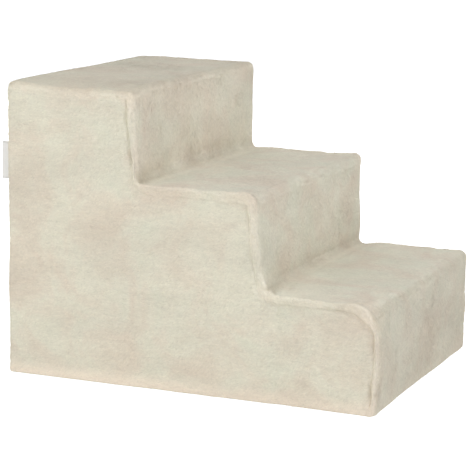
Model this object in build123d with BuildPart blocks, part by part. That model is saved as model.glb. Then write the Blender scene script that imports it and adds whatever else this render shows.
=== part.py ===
from build123d import *
import os

os.makedirs("parts", exist_ok=True)

# Three-step pet stairs: a core of three glued foam slabs inside a sewn plush cover, which comes off
# through a zip along the low right and back edges. The origin is the middle of the underside on the
# floor, +Z is up, +Y points to the tall back end, and the side with the label is -X.

# Stairs
width = 350.0
run_bottom = 142.0
run_middle = 148.0
run_top = 160.0
rise_bottom = 120.0
rise_middle = 110.0
rise_top = 110.0

# Cover: thickness of the plush with its pile, its roundings, its seams and its fit round the foam
cloth = 5.5
nose_round = 12.0
low_nose_round = 15.0
corner_bridge = 10.0
hem_round = 9.0
edge_round = 8.0
seam_inset = 10.5
seam_groove = 1.2
foam_fit = 0.3
overrun = 20.0

# Zip: its level, its depth under the face of the plush, its ends, and the section of its chain
zip_height = 20.0
zip_depth = 2.9
zip_front_gap = 46.0
zip_end_gap = 34.0
slot_width = 10.0
tape_thick = 0.5
tape_reach = 13.0
tape_tail = 6.0
tape_fit = 0.2
cord_near = 2.0
cord_far = 3.2
row_thick = 2.4
tooth_pitch = 4.0
tooth_neck = 1.0
tooth_head = 1.5
tooth_cross = 0.9
gap_overrun = 1.0
stop_length = 2.6
stop_gap = 0.6
stop_near = 0.6

# Slider: two plates round the chain, joined by a wedge, with a bridge over the outer plate
slider_length = 12.0
slider_width = 9.0
slider_round = 2.0
plate_thick = 1.1
channel_half = 1.5
flange_width = 1.0
tape_slot = 1.2
wedge_length = 5.0
wedge_width = 3.2
wedge_inset = 0.6
wedge_gap = 0.4
bridge_length = 8.0
bridge_width = 2.4
bridge_wall = 0.8

# Pull tab: a flat tab whose crossbar turns in the bridge
pull_axis_height = 1.25
pull_thick = 1.5
pull_play = 0.08
pull_length = 24.0
pull_width = 6.0
pull_window_width = 3.0
pull_window_length = 4.8
pull_tip_round = 2.6
pull_hole = 2.6
pull_hole_inset = 4.2

# Woven label: a folded strip in the left back seam
label_height = 43.0
label_reach = 9.0
label_thick = 1.2
label_slit = 0.3
label_level = 248.0

# Levels and places that follow from the sizes above
depth = run_bottom + run_middle + run_top
height = rise_bottom + rise_middle + rise_top
half_width = width / 2
front_y = -depth / 2
middle_y = front_y + run_bottom
top_y = middle_y + run_middle
back_y = depth / 2
middle_z = rise_bottom
top_z = rise_bottom + rise_middle
seam_x = half_width - seam_inset
foam_inset = cloth + foam_fit


def stair_corners(inset):
    """Corners of the stepped side outline, drawn in by inset, from the front foot to the back foot."""
    return [
        (front_y + inset, inset),
        (front_y + inset, middle_z - inset),
        (middle_y + inset, middle_z - inset),
        (middle_y + inset, top_z - inset),
        (top_y + inset, top_z - inset),
        (top_y + inset, height - inset),
        (back_y - inset, height - inset),
        (back_y - inset, inset),
    ]


def stair_radii(inset):
    """Roundings of those corners, concentric with the outer ones."""
    hem = hem_round - inset
    low_nose = low_nose_round - inset
    nose = nose_round - inset
    bridge = corner_bridge + inset
    return [hem, low_nose, bridge, nose, bridge, nose, nose, hem]


def stair_block(inset):
    """Stepped block drawn in by inset, with rounded noses and sharp side edges."""
    with BuildPart() as block:
        with BuildSketch(Plane.YZ):
            with BuildLine():
                FilletPolyline(*stair_corners(inset), radius=stair_radii(inset), close=True)
            make_face()
        extrude(amount=half_width - inset, both=True)
    return block.part


def plan_block(inset, low, high):
    """Block over the plan of the stairs, drawn in by inset, between two levels."""
    with BuildPart() as block:
        with BuildSketch(Plane.XY.offset(low)):
            RectangleRounded(width - 2 * inset, depth - 2 * inset, edge_round - inset)
        extrude(amount=high - low)
    return block.part


def box_between(low, high):
    """Box from one corner to the opposite one."""
    size = [b - a for a, b in zip(low, high)]
    return Pos(*low) * Box(*size, align=(Align.MIN, Align.MIN, Align.MIN))


# Line of the side seams: parallel to the stepped outline, open at the back and at the bottom
seam_points = stair_corners(seam_inset)[1:-1]
seam_radii = stair_radii(seam_inset)[1:-2]
seam_points.insert(0, (front_y + seam_inset, -overrun))
seam_points[-1] = (back_y + overrun, height - seam_inset)

# Region of a side panel, with its wraps round the back edge and under the bottom edge
with BuildPart() as side_region:
    with BuildSketch(Plane.YZ):
        with BuildLine():
            FilletPolyline(*seam_points, radius=seam_radii)
            Polyline(seam_points[-1], (back_y + overrun, -overrun), seam_points[0])
        make_face()
    extrude(amount=overrun)
left_region = Pos(-seam_x - overrun, 0, 0) * side_region.part
right_region = Pos(seam_x, 0, 0) * side_region.part

# Groove along a side seam: a square rod on its edge, sunk half into the side face
with BuildPart() as seam_rod:
    with BuildLine(Plane.YZ) as seam_path:
        FilletPolyline(*seam_points, radius=seam_radii)
    with BuildSketch(seam_path.wire() ^ 0):
        RegularPolygon(seam_groove, 4)
    sweep(path=seam_path.wire())

# Regions of the base panel, turned up to the zip on the right and at the back, and of the back panel
base_region = box_between(
    (-seam_x, front_y + seam_inset, -overrun),
    (half_width + overrun, back_y + overrun, zip_height),
)
back_region = box_between(
    (-seam_x, back_y - seam_inset, zip_height),
    (seam_x, back_y + overrun, height - seam_inset),
)

# Slot for the zip through the right and back walls, and the rebate for its tapes behind them
zip_front_y = front_y + zip_front_gap
zip_end_x = -half_width + zip_end_gap
chain_zone = box_between(
    (zip_end_x, zip_front_y, 0),
    (half_width + overrun, back_y + overrun, height),
)
tape_zone = box_between(
    (zip_end_x - tape_tail, zip_front_y - tape_tail, 0),
    (half_width + overrun, back_y + overrun, height),
)
slot_cut = plan_block(-overrun, zip_height - slot_width / 2, zip_height + slot_width / 2) & chain_zone
rebate_low = zip_height - tape_reach - tape_fit
rebate_high = zip_height + tape_reach + tape_fit
rebate_cut = plan_block(zip_depth - tape_thick / 2, rebate_low, rebate_high) & tape_zone

# Slit for the label in the left back seam
label_low = label_level - label_height / 2
label_high = label_level + label_height / 2
label_cut = box_between(
    (-seam_x - label_thick / 2, back_y - cloth, label_low),
    (-seam_x + label_thick / 2, back_y + overrun, label_high),
)

# Whole cover before it is parted: soft side edges, hollow inside, with its seams, zip slot and slit
with BuildPart() as cover:
    add(stair_block(0))
    fillet(cover.faces().filter_by(Axis.X).edges(), edge_round)
    add(stair_block(cloth), mode=Mode.SUBTRACT)
    for side_x in (-half_width, half_width):
        add(Pos(side_x, 0, 0) * seam_rod.part, mode=Mode.SUBTRACT)
    with BuildSketch(Plane.XY.offset(zip_height)):
        with Locations((-seam_x, back_y), (seam_x, back_y)):
            RegularPolygon(seam_groove, 4)
    extrude(amount=height - seam_inset - zip_height, mode=Mode.SUBTRACT)
    with BuildSketch(Plane.YZ):
        with Locations((back_y, height - seam_inset)):
            RegularPolygon(seam_groove, 4)
    extrude(amount=seam_x, both=True, mode=Mode.SUBTRACT)
    for opening in (slot_cut, rebate_cut, label_cut):
        add(opening, mode=Mode.SUBTRACT)

# Left side panel, the large stepped face with the label in its back seam
with BuildPart() as left_side_panel:
    add(cover.part)
    add(left_region, mode=Mode.INTERSECT)
left_side_panel.part.label = "left_side_panel"
export_step(left_side_panel.part, "parts/left_side_panel.step")

# Right side panel, which ends above the zip
with BuildPart() as right_side_panel:
    add(cover.part)
    add(right_region, mode=Mode.INTERSECT)
    add(base_region, mode=Mode.SUBTRACT)
right_side_panel.part.label = "right_side_panel"
export_step(right_side_panel.part, "parts/right_side_panel.step")

# Back panel, between the two wrapped side panels
with BuildPart() as back_panel:
    add(cover.part)
    add(back_region, mode=Mode.INTERSECT)
back_panel.part.label = "back_panel"
export_step(back_panel.part, "parts/back_panel.step")

# Base panel of anti-slip cloth, with its rim turned up to the zip
with BuildPart() as base_panel:
    add(cover.part)
    add(base_region, mode=Mode.INTERSECT)
base_panel.part.label = "base_panel"
export_step(base_panel.part, "parts/base_panel.step")

# Step panel, the rest of the cover: front riser, treads, inner risers and top in one length
with BuildPart() as step_panel:
    add(cover.part)
    for region in (left_region, right_region, base_region, back_region):
        add(region, mode=Mode.SUBTRACT)
step_panel.part.label = "step_panel"
export_step(step_panel.part, "parts/step_panel.step")


def foam_slab(corners, radii):
    """One slab of the core from the corners of its side outline."""
    with BuildPart() as slab:
        with BuildSketch(Plane.YZ):
            with BuildLine():
                FilletPolyline(*corners, radius=radii, close=True)
            make_face()
        extrude(amount=half_width - foam_inset, both=True)
    return slab


# Foam core: each slab starts at its own riser and runs to the back, glued to the slab below
foam_back = back_y - foam_inset
foam_levels = [foam_inset, middle_z - foam_inset, top_z - foam_inset, height - foam_inset]
foam_nose = nose_round - foam_inset
foam_low_nose = low_nose_round - foam_inset
foam_hem = hem_round - foam_inset
slab_rows = [
    ("base_foam", front_y, [foam_hem, foam_low_nose, 0, foam_hem]),
    ("middle_foam", middle_y, [0, foam_nose, 0, 0]),
    ("top_foam", top_y, [0, foam_nose, foam_nose, 0]),
]
for level, (name, riser_y, slab_radii) in enumerate(slab_rows):
    low, high = foam_levels[level : level + 2]
    front = riser_y + foam_inset
    slab_corners = [(front, low), (front, high), (foam_back, high), (foam_back, low)]
    foam = foam_slab(slab_corners, slab_radii)
    foam.part.label = name
    export_step(foam.part, f"parts/{name}.step")


def zip_strip(thick, near, far, zone):
    """Strip of the zip that follows the right and back walls, between two distances from the chain."""
    low, high = sorted((zip_height + near, zip_height + far))
    outside = plan_block(zip_depth - thick / 2, low, high)
    inside = plan_block(zip_depth + thick / 2, low, high)
    return (outside - inside) & zone


# Zip tapes, sewn to the insides of the panels above and below the slot
with BuildPart() as upper_zip_tape:
    add(zip_strip(tape_thick, cord_far, tape_reach, tape_zone))
upper_zip_tape.part.label = "upper_zip_tape"
export_step(upper_zip_tape.part, "parts/upper_zip_tape.step")

with BuildPart() as lower_zip_tape:
    add(zip_strip(tape_thick, -cord_far, -tape_reach, tape_zone))
lower_zip_tape.part.label = "lower_zip_tape"
export_step(lower_zip_tape.part, "parts/lower_zip_tape.step")

# Line of the chain, from its front end along the right side, round the corner and along the back
chain_x = half_width - zip_depth
chain_y = back_y - zip_depth
with BuildLine(Plane.XY.offset(zip_height)) as chain_line:
    FilletPolyline(
        (chain_x, zip_front_y), (chain_x, chain_y), (zip_end_x, chain_y), radius=edge_round - zip_depth
    )
chain = chain_line.wire()


def chain_place(distance):
    """Place on the chain at a distance from its front end: X along it, Y up and Z out of the cover."""
    share = distance / chain.length
    along = chain % share
    return Plane(chain @ share, x_dir=along, z_dir=along.cross(Vector(0, 0, 1))).location


# Slider at the closed end of the zip, its middle on the chain
slider_x = zip_end_x + 2 * stop_gap + stop_length + slider_length / 2
slider_plane = Plane((slider_x, chain_y, zip_height), x_dir=(-1, 0, 0), z_dir=(0, 1, 0))
slider_half = channel_half + plate_thick
wedge_nose_x = slider_length / 2 - wedge_inset
wedge_tail_x = wedge_nose_x - wedge_length
wedge_middle_x = wedge_nose_x - wedge_width / 2

# Gap between two teeth of a row: wider at the root, so that a tooth is wider at its head, which reaches
# past the middle of the chain
root_gap = tooth_pitch - tooth_neck
head_gap = tooth_pitch - tooth_head
flare = (root_gap - head_gap) / (cord_near + tooth_cross)
mouth_gap = head_gap - flare * gap_overrun
mouth = -tooth_cross - gap_overrun
with BuildPart() as tooth_gap:
    with BuildSketch():
        with BuildLine():
            Polyline(
                (-root_gap / 2, cord_near),
                (root_gap / 2, cord_near),
                (mouth_gap / 2, mouth),
                (-mouth_gap / 2, mouth),
                close=True,
            )
        make_face()
    extrude(amount=row_thick, both=True)

# Teeth of the two rows, half a pitch apart, from the bottom stop to the tail of the slider's wedge
chain_start = 2 * stop_gap + stop_length + tooth_head / 2
chain_end = chain.length - (slider_x - zip_end_x) + wedge_tail_x - wedge_gap - tooth_head / 2
tooth_count = int((chain_end - chain_start) / tooth_pitch - 1 / 2) + 1


def tooth_row(side, last_place):
    """Cord with its teeth on one side of the chain, cut from one strip; the last tooth stands at last_place."""
    first_place = last_place - (tooth_count - 1) * tooth_pitch
    first_y = zip_front_y + first_place - tooth_pitch / 2
    last_x = zip_end_x + chain.length - last_place - tooth_pitch / 2
    teeth_zone = box_between(
        (last_x, first_y, 0),
        (half_width + overrun, back_y + overrun, height),
    )
    gap = Rot(0, 0, 90 - 90 * side) * tooth_gap.part
    with BuildPart() as row:
        add(zip_strip(row_thick, side * cord_near, side * cord_far, chain_zone))
        add(zip_strip(row_thick, -side * tooth_cross, side * cord_near, teeth_zone))
        add(
            [
                chain_place(first_place + (i - 1 / 2) * tooth_pitch) * gap
                for i in range(tooth_count + 1)
            ],
            mode=Mode.SUBTRACT,
        )
    return row


upper_zip_teeth = tooth_row(1, chain_end)
upper_zip_teeth.part.label = "upper_zip_teeth"
export_step(upper_zip_teeth.part, "parts/upper_zip_teeth.step")

lower_zip_teeth = tooth_row(-1, chain_end - tooth_pitch / 2)
lower_zip_teeth.part.label = "lower_zip_teeth"
export_step(lower_zip_teeth.part, "parts/lower_zip_teeth.step")

# Two top stops, one on each cord, past the slider's head
top_stop_place = chain_place(chain.length - stop_gap - stop_length / 2)
stop_middle = (stop_near + cord_near) / 2
with BuildPart() as zip_top_stops:
    with Locations(top_stop_place):
        with Locations((0, -stop_middle), (0, stop_middle)):
            Box(stop_length, cord_near - stop_near, row_thick)
zip_top_stops.part.label = "zip_top_stops"
export_step(zip_top_stops.part, "parts/zip_top_stops.step")

# Bottom stop, one block that holds both cords together
with BuildPart() as zip_bottom_stop:
    with Locations(chain_place(stop_gap + stop_length / 2)):
        Box(stop_length, 2 * cord_near, row_thick)
zip_bottom_stop.part.label = "zip_bottom_stop"
export_step(zip_bottom_stop.part, "parts/zip_bottom_stop.step")

# Slider: plates with flanges round the chain, the wedge that parts the teeth, and the bridge
axis_height = slider_half + pull_axis_height
bridge_top = axis_height + pull_thick / 2 + pull_play + bridge_wall
bridge_plane = Plane(slider_plane.origin, x_dir=(-1, 0, 0), z_dir=(0, 0, -1))
with BuildPart() as zip_slider:
    with BuildSketch(slider_plane.offset(-slider_half)):
        RectangleRounded(slider_length, slider_width, slider_round)
    extrude(amount=2 * slider_half)
    with BuildSketch(slider_plane.offset(-channel_half)):
        Rectangle(slider_length, slider_width - 2 * flange_width)
    extrude(amount=2 * channel_half, mode=Mode.SUBTRACT)
    with BuildSketch(slider_plane.offset(-tape_slot / 2)):
        Rectangle(slider_length, slider_width)
    extrude(amount=tape_slot, mode=Mode.SUBTRACT)
    with BuildSketch(slider_plane.offset(-channel_half)):
        with BuildLine():
            wedge_side = (wedge_middle_x, wedge_width / 2)
            wedge_other_side = (wedge_middle_x, -wedge_width / 2)
            ThreePointArc(wedge_side, (wedge_nose_x, 0), wedge_other_side)
            Polyline(wedge_other_side, (wedge_tail_x, 0), wedge_side)
        make_face()
    extrude(amount=2 * channel_half)
    with BuildSketch(bridge_plane):
        with BuildLine():
            bridge_tail = (-bridge_length / 2, slider_half)
            bridge_head = (bridge_length / 2, slider_half)
            ThreePointArc(bridge_tail, (0, bridge_top), bridge_head)
            Line(bridge_head, bridge_tail)
        make_face()
        with Locations((0, axis_height)):
            Circle(pull_thick / 2 + pull_play, mode=Mode.SUBTRACT)
    extrude(amount=bridge_width / 2, both=True)
zip_slider.part.label = "zip_slider"
export_step(zip_slider.part, "parts/zip_slider.step")

# Pull tab, laid back over the closed chain: a window for the bridge and a crossbar through its eye
pull_plane = slider_plane.offset(axis_height)
with BuildPart() as zip_pull:
    with BuildSketch(pull_plane.offset(-pull_thick / 2)) as pull_outline:
        with Locations((-pull_length / 2, 0)):
            Rectangle(pull_length, pull_width)
        fillet(pull_outline.vertices().sort_by(Axis.X)[:2], pull_tip_round)
        with Locations((-pull_window_length / 2, 0)):
            Rectangle(pull_window_length, pull_window_width, mode=Mode.SUBTRACT)
        with Locations((pull_hole_inset - pull_length, 0)):
            Circle(pull_hole / 2, mode=Mode.SUBTRACT)
    extrude(amount=pull_thick)
    with BuildSketch(bridge_plane):
        with Locations((0, axis_height)):
            Circle(pull_thick / 2)
    extrude(amount=pull_width / 2, both=True)
zip_pull.part.label = "zip_pull"
export_step(zip_pull.part, "parts/zip_pull.step")

# Woven label: two layers and a round fold, held in the seam
fold_y = back_y + label_reach - label_thick / 2
label_root = fold_y - (back_y - cloth)
with BuildPart() as woven_label:
    with BuildSketch(Plane.XY.offset(label_low)):
        for thick, mode in ((label_thick, Mode.ADD), (label_slit, Mode.SUBTRACT)):
            with Locations((-seam_x, fold_y)):
                Circle(thick / 2, mode=mode)
                Rectangle(thick, label_root, align=(Align.CENTER, Align.MAX), mode=mode)
    extrude(amount=label_height)
woven_label.part.label = "woven_label"
export_step(woven_label.part, "parts/woven_label.step")
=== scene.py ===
import math

import bmesh
import bpy
import numpy as np
from mathutils import Matrix, Vector, bvhtree, noise


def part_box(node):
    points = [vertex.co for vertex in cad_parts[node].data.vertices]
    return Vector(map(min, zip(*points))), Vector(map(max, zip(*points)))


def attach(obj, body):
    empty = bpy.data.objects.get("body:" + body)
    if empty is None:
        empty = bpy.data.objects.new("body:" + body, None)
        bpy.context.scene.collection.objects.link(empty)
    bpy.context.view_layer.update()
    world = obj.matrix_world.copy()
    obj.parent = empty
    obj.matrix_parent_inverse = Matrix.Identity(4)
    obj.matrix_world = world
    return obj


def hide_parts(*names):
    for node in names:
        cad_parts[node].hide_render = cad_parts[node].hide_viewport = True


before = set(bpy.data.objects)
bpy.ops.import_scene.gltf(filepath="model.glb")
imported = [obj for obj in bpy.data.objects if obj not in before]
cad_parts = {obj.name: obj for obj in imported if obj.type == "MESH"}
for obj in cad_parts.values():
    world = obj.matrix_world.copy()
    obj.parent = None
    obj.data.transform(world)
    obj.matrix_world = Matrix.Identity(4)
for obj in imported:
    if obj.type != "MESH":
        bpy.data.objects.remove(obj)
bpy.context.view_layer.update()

# Camera: a long lens a little above the lowest step, looking along the stairs from the side that
# carries the label. Its place was fitted to the edges of the photograph.
azimuth = math.radians(-67.09)
elevation = math.radians(10.72)
roll = math.radians(0.70)
camera_distance = 2.261
camera_target = Vector((-0.0337, -0.0012, 0.1574))
frame_pixels = 470
focal_pixels = 1930
camera_back = Vector((math.sin(azimuth), -math.cos(azimuth), math.tan(elevation))).normalized()
camera_right = Vector((math.cos(azimuth), math.sin(azimuth), 0))
camera_axes = Matrix((camera_right, camera_back.cross(camera_right), camera_back)).transposed()
camera_turn = (camera_axes @ Matrix.Rotation(roll, 3, "Z")).to_4x4()
camera_data = bpy.data.cameras.new("camera")
camera_data.sensor_width = 36.0
camera_data.lens = focal_pixels / frame_pixels * camera_data.sensor_width
camera = bpy.data.objects.new("camera", camera_data)
bpy.context.collection.objects.link(camera)
camera_place = camera_target + camera_back * camera_distance
camera.matrix_world = Matrix.Translation(camera_place) @ camera_turn
bpy.context.scene.camera = camera
bpy.context.scene.view_settings.view_transform = "Standard"


# Floor: seamless white studio paper, matt. The camera sees it burnt out to white, and a little of
# its light comes back to the stairs.
def linear(code):
    """Linear colour of an sRGB hex code."""
    shares = [int(code[i : i + 2], 16) / 255 for i in (1, 3, 5)]
    return [s / 12.92 if s <= 0.04045 else ((s + 0.055) / 1.055) ** 2.4 for s in shares] + [1.0]


def add_node(material, kind, settings=(), links=()):
    """Node with its settings, and links into it from sockets or the first outputs of nodes."""
    made = material.node_tree.nodes.new("ShaderNode" + kind)
    for name, value in dict(settings).items():
        if isinstance(name, str) and hasattr(made, name):
            setattr(made, name, value)
        else:
            made.inputs[name].default_value = value
    for name, source in dict(links).items():
        socket = source.outputs[0] if isinstance(source, bpy.types.Node) else source
        material.node_tree.links.new(socket, made.inputs[name])
    return made


def new_material(name):
    """Material with an empty node tree."""
    material = bpy.data.materials.new(name)
    material.use_nodes = True
    material.node_tree.nodes.clear()
    return material


def new_piece(name, bm, material, smooth=True):
    """Object made of a bmesh, at the origin."""
    mesh = bpy.data.meshes.new(name)
    bm.to_mesh(mesh)
    bm.free()
    mesh.polygons.foreach_set("use_smooth", [smooth] * len(mesh.polygons))
    mesh.materials.append(material)
    piece = bpy.data.objects.new(name, mesh)
    bpy.context.collection.objects.link(piece)
    return piece


seen_glow = 0.90
bounced_glow = 0.13
floor_half = 40
floor_drop = 0.0004

studio_paper = new_material("matt_studio_paper")
paper_shader = add_node(
    studio_paper, "BsdfPrincipled", {"Base Color": linear("#f2f2f2"), "Roughness": 0.9}
)
glows = [
    add_node(studio_paper, "Emission", {"Color": linear("#ffffff"), "Strength": glow})
    for glow in (bounced_glow, seen_glow)
]
rays = add_node(studio_paper, "LightPath")
paper_glow = add_node(
    studio_paper, "MixShader", (), {0: rays.outputs["Is Camera Ray"], 1: glows[0], 2: glows[1]}
)
lit_paper = add_node(studio_paper, "AddShader", (), {0: paper_shader, 1: paper_glow})
add_node(studio_paper, "OutputMaterial", (), {"Surface": lit_paper})
bm = bmesh.new()
bmesh.ops.create_grid(bm, x_segments=2, y_segments=2, size=floor_half)
bmesh.ops.translate(bm, vec=(0, 0, -floor_drop), verts=bm.verts)
floor = new_piece("studio_floor", bm, studio_paper)

# Studio light: a pale room for the fill, a soft box close to the tall end on the side of the label,
# a larger one high in front of the steps, and a third behind on the far side for the back.
world = bpy.data.worlds.new("pale_room")
bpy.context.scene.world = world
world.use_nodes = True
world.node_tree.nodes["Background"].inputs["Color"].default_value = linear("#fcfcfc")
world.node_tree.nodes["Background"].inputs["Strength"].default_value = 0.28
lit_middle = Vector((0, 0, 0.15))
for name, place, size, power, colour in (
    ("side_soft_box", (-1.90, 0.62, 0.90), 1.4, 15.8, "#fffdfa"),
    ("front_soft_box", (-0.24, -1.83, 2.36), 1.6, 45.5, "#fdfdff"),
    ("rear_soft_box", (1.80, 1.80, 0.55), 1.6, 26.0, "#fffdf9"),
):
    data = bpy.data.lights.new(name, "AREA")
    data.shape = "SQUARE"
    data.size = size
    data.energy = power
    data.color = linear(colour)[:3]
    lamp = bpy.data.objects.new(name, data)
    bpy.context.collection.objects.link(lamp)
    lamp_turn = (Vector(place) - lit_middle).to_track_quat("Z", "Y").to_matrix().to_4x4()
    lamp.matrix_world = Matrix.Translation(place) @ lamp_turn

# Foam core: three slabs of firm open-cell polyurethane foam, sawn square and glued face to face,
# one for each step. The cover hides them. The cells, under 1 mm wide, are drawn 1.4 mm apart.
def two_toned(material, pattern, tones, bump, settings):
    """Finish of a material: a pattern mixes its two tones and raises its surface."""
    tone = add_node(
        material,
        "Mix",
        {"data_type": "RGBA", 6: linear(tones[0]), 7: linear(tones[1])},
        {0: pattern},
    )
    raised = add_node(
        material, "Bump", {"Strength": bump[0], "Distance": bump[1]}, {"Height": pattern}
    )
    links = {"Base Color": tone.outputs[2], "Normal": raised}
    shader = add_node(material, "BsdfPrincipled", settings, links)
    add_node(material, "OutputMaterial", (), {"Surface": shader})


foam_material = new_material("open_cell_polyurethane_foam")
foam_places = add_node(foam_material, "TexCoord")
foam_cells = add_node(
    foam_material,
    "TexVoronoi",
    {"Scale": 700.0, "Randomness": 1.0},
    {"Vector": foam_places.outputs["Object"]},
)
foam_look = {"Roughness": 0.95, "Specular IOR Level": 0.2}
two_toned(foam_material, foam_cells, ("#f4ecce", "#d9cda4"), (0.6, 0.0006), foam_look)

half_width = 0.175
back_place = 0.225
riser_places = (-0.225, -0.083, 0.065)
tread_levels = (0.12, 0.23, 0.34)
# Slack for what lies on a plane, and the least length that anything is divided by
touch = 1e-5
tiny = 1e-12
# Rounding of each step's nose in the middle, and what its near and far ends add to it
nose_rounds = ((0.015, 0.017, -0.004), (0.012, 0.003, -0.002), (0.011, -0.001, -0.002))
nose_end = 0.026


def bell(distance, spread):
    """Bell curve of a distance, 1 at its middle."""
    return np.exp(-((distance / spread) ** 2))


def nose_round(level, across):
    """Rounding of a step's nose. The cover pulls in the foam most at the near end of the lowest."""
    middle, near_more, far_more = nose_rounds[level]
    near_end = bell(across + half_width, nose_end)
    return middle + near_more * near_end + far_more * bell(across - half_width, nose_end)


def drawn_round(across, up, inward, corner, signs, radius, depth):
    """Points of a side outline near a sharp corner, drawn onto a round one. It turns inward too."""
    a = (across - corner[0]) * signs[0] - radius
    b = (up - corner[1]) * signs[1] - radius
    reach = np.maximum(np.hypot(a, b), tiny)
    near = (a < 0) & (b < 0) & (a > -radius - touch) & (b > -radius - touch) & (depth < radius)
    share = np.where(near, (radius - depth) / reach, 1.0)
    drawn_across = corner[0] + signs[0] * (radius + a * share)
    drawn_up = corner[1] + signs[1] * (radius + b * share)
    inward[near] = np.array([-a * signs[0] / reach, -b * signs[1] / reach]).T[near]
    return near, np.array([drawn_across, drawn_up]).T


foam_inset = 0.0058
foam_nose_play = 0.001
foam_cuts = 23
for level, node_name in enumerate(("base_foam", "middle_foam", "top_foam")):
    low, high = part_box(node_name)
    bm = bmesh.new()
    bmesh.ops.create_cube(bm, size=1)
    bmesh.ops.scale(bm, vec=high - low, verts=bm.verts)
    bmesh.ops.translate(bm, vec=(low + high) / 2, verts=bm.verts)
    bmesh.ops.subdivide_edges(bm, edges=bm.edges, cuts=foam_cuts, use_grid_fill=True)
    x, y, z = np.array([v.co for v in bm.verts]).T
    depth = np.min([y - low.y, high.z - z], axis=0)
    radius = nose_round(level, x) - foam_inset + foam_nose_play
    unused_ways = np.zeros((len(x), 2))
    near, place = drawn_round(y, z, unused_ways, (low.y, high.z), (1, -1), radius, depth)
    bm.verts.ensure_lookup_table()
    for index in np.flatnonzero(near):
        bm.verts[index].co.yz = place[index]
    foam = new_piece(f"{node_name}_slab", bm, foam_material)
    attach(foam, "stairs")
    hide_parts(node_name)

# Cover shape: the five panels are cut from one skin that lies over the stepped core. It starts as a
# sharp stepped block, is divided finely along straight lines, and its corners are then drawn round.
seam_inset = 0.0105
seam_place = half_width - seam_inset
seam_band = 0.003
zip_level = 0.020
slot_half = 0.005
slot_front = -0.179
slot_end = -0.141
foot_cut = 0.008
coarse_step = 0.014
step_slack = 0.01
cut_slack = 1e-6
fine_cuts = 3


def picked(geom, kind):
    """Elements of one kind, out of what an operator gives back."""
    return [g for g in geom if isinstance(g, kind)]


bm = bmesh.new()
outline = [(riser_places[0], 0.0)]
for riser, back, level in zip(riser_places, (*riser_places[1:], back_place), tread_levels):
    outline += [(riser, level), (back, level)]
outline.append((back_place, 0.0))
side_face = bm.faces.new([bm.verts.new((-half_width, y, z)) for y, z in outline])
drawn = bmesh.ops.extrude_face_region(bm, geom=[side_face])["geom"]
bmesh.ops.translate(bm, vec=(2 * half_width, 0, 0), verts=picked(drawn, bmesh.types.BMVert))
bmesh.ops.holes_fill(bm, edges=[e for e in bm.edges if e.is_boundary])
bmesh.ops.recalc_face_normals(bm, faces=bm.faces)


def division(low, high, marks):
    """Places of the coarse cuts: the marks, and even steps between them."""
    marks = sorted({round(m, 6) for m in (low, high, *marks)})
    places = []
    for a, b in zip(marks, marks[1:]):
        count = max(1, math.ceil((b - a) / coarse_step - step_slack))
        places += [a + (b - a) * i / count for i in range(count)]
    return places[1:]


seam_lines = (-seam_band, 0.0, seam_band)
x_marks = [side * (seam_place + s) for side in (-1, 1) for s in seam_lines] + [slot_end]
y_marks = [r + seam_inset + s for r in riser_places for s in seam_lines]
y_marks += [back_place - seam_inset - s for s in seam_lines] + list(riser_places[1:]) + [slot_front]
z_marks = [t - seam_inset + s for t in tread_levels for s in seam_lines] + list(tread_levels[:2])
z_marks += [foot_cut, zip_level - slot_half, zip_level, zip_level + slot_half]
cuts = [((p, 0, 0), (1, 0, 0)) for p in division(-half_width, half_width, x_marks)]
cuts += [((0, p, 0), (0, 1, 0)) for p in division(riser_places[0], back_place, y_marks)]
cuts += [((0, 0, p), (0, 0, 1)) for p in division(0.0, tread_levels[2], z_marks)]
for place, normal in cuts:
    everything = bm.verts[:] + bm.edges[:] + bm.faces[:]
    bmesh.ops.bisect_plane(bm, geom=everything, dist=cut_slack, plane_co=place, plane_no=normal)
bmesh.ops.subdivide_edges(bm, edges=bm.edges, cuts=fine_cuts, use_grid_fill=True)

# Panels of the skin, by where each face lies on the sharp block, and the open slot
in_steps, in_left, in_right, in_back, in_base, in_slot = range(6)
panel_layer = bm.faces.layers.int.new("panel")


def inside_seam(y, z):
    """Depth behind the side seam of the risers, treads and top, above zero inside a side panel."""
    return max(min(y - r, t - z) for r, t in zip(riser_places, tread_levels)) - seam_inset


def panel_of(centre):
    """Panel that a face of the sharp block belongs to."""
    x, y, z = centre
    on_side = abs(abs(x) - half_width) < touch
    on_back = y > back_place - touch
    if abs(z - zip_level) < slot_half:
        if (on_side and x > 0 and y > slot_front) or (on_back and x > slot_end):
            return in_slot
    if not (on_side or on_back or z < touch) or inside_seam(y, z) < 0:
        return in_steps
    if x < -seam_place:
        return in_left
    if z < zip_level:
        return in_base
    return in_right if x > seam_place else in_back


for f in bm.faces:
    f[panel_layer] = panel_of(f.calc_center_median())

# Soft corners: the outline of the steps is rounded first, most at the near end of the lowest nose,
# where the cover pulls the foam in. Of the inner corners, which the pile fills, the lower one is
# rounder at its near end and the upper one in its middle. The side edges are rounded last.
foot_round = 0.006
back_round = 0.010
inner_round = 0.0080
inner_skin = 0.014
inner_reach = 0.05
near_spread = 0.045
middle_x, middle_spread = -0.01, 0.12
riser_edge = 0.0085
top_edge = 0.0075
tread_edge = 0.0045
base_edge = 0.005

bm.verts.ensure_lookup_table()
sharp = np.array([v.co for v in bm.verts])
x, y, z = sharp.T


def smooth_step(value, start, end):
    """0 before start, 1 after end and smooth between them."""
    share = np.clip((value - start) / (end - start), 0, 1)
    return share * share * (3 - 2 * share)


terms = np.array([[y - r, t - z, back_place - y, z] for r, t in zip(riser_places, tread_levels)])
least = terms.min(axis=1)
chosen = least.argmax(axis=0)
depth = least.max(axis=0)
which = terms.argmin(axis=1)[chosen, np.arange(len(x))]
inward = np.array([(1.0, 0.0), (0.0, -1.0), (-1.0, 0.0), (0.0, 1.0)])[which]
place = np.array([y, z]).T

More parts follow.
